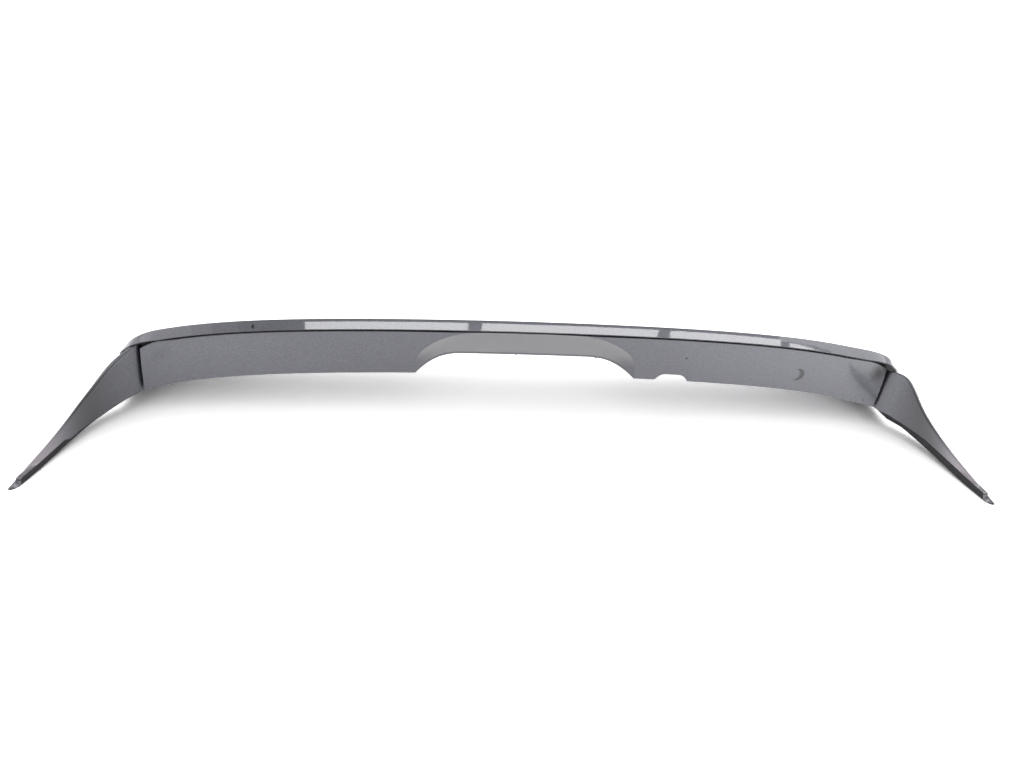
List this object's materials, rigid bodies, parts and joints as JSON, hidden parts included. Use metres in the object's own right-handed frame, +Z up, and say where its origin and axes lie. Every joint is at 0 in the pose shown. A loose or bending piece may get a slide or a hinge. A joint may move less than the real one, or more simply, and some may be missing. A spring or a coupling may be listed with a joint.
{
  "type": "tailgate spoiler",
  "caption": "Painted tailgate spoiler: a hollow wing with a sharp trailing lip, a wiper scoop and long tapering side fins, held by studs and clips.",
  "frame": {"origin": "middle of the footprint, on the plane that the fin tips and the hem's front corners rest on", "axes": "+X across the car from fin to fin, +Y from the trailing edge towards the leading edge, +Z up from the mounting side to the painted top"},
  "size_m": [1.2, 0.28, 0.1493],
  "materials": {
    "body_paint": "dark grey metallic paint under clearcoat on moulded plastic",
    "strip_foam": "matt black cellular rubber sealing strip",
    "carrier_plastic": "unpainted black stiffening plate",
    "stud_steel": "zinc plated steel",
    "gasket_foam": "black closed-cell foam ring",
    "pin_plastic": "black moulded nylon",
    "seal_foam": "black foam seal",
    "clip_plastic": "natural white acetal",
    "screw_steel": "zinc plated steel"
  },
  "bodies": {
    "root": {"upper_shell": "body_paint", "lower_shell": "body_paint", "left_fin": "body_paint", "right_fin": "body_paint", "left_fin_carrier": "carrier_plastic", "right_fin_carrier": "carrier_plastic", "left_fin_strip": "strip_foam", "right_fin_strip": "strip_foam", "left_inner_stud": "stud_steel", "right_inner_stud": "stud_steel", "left_outer_stud": "stud_steel", "right_outer_stud": "stud_steel", "left_inner_gasket": "gasket_foam", "right_inner_gasket": "gasket_foam", "left_outer_gasket": "gasket_foam", "right_outer_gasket": "gasket_foam", "left_locating_pin": "pin_plastic", "right_locating_pin": "pin_plastic", "leading_edge_seal": "seal_foam", "edge_clips": "clip_plastic", "left_fin_screws": "screw_steel", "right_fin_screws": "screw_steel"}
  },
  "joints": []
}
